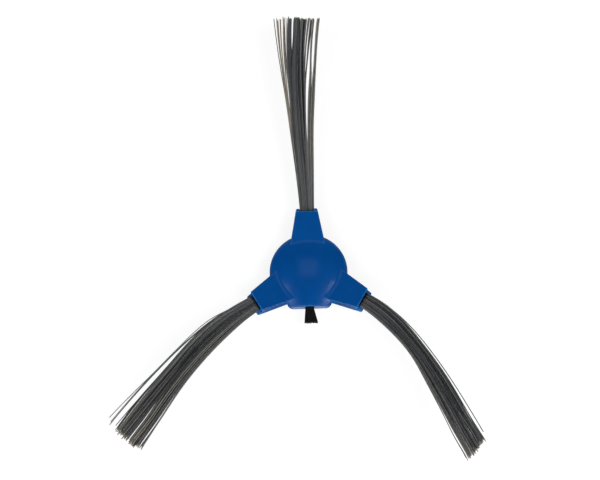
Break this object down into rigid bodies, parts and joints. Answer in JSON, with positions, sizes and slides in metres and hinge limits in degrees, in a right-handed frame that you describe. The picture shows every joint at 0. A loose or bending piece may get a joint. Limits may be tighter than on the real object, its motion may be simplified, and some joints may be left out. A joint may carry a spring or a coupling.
{
  "type": "robot vacuum side brush",
  "caption": "Rotary side brush for a robot vacuum: low domed hub with tapered arms, long bent bristle tufts, a short front tuft and a drive socket underneath.",
  "frame": {"origin": "mouth of the drive socket, at the centre of the drive boss's end face", "axes": "+Z along the spin axis towards the dome, +Y along the rear arm, -Y towards the flat front with the short tuft"},
  "size_m": [0.1205, 0.1527, 0.0207],
  "materials": {
    "hub": "moulded satin",
    "long_bristle": "nylon filament",
    "short_bristle": "nylon filament",
    "wire": "drawn"
  },
  "bodies": {
    "root": {"hub_cover": "hub", "hub_base": "hub", "long_tuft_rear": "long_bristle", "long_tuft_left": "long_bristle", "long_tuft_right": "long_bristle", "short_tuft": "short_bristle", "tuft_anchor_rear": "wire", "tuft_anchor_left": "wire", "tuft_anchor_right": "wire", "short_tuft_anchor": "wire"}
  },
  "joints": []
}
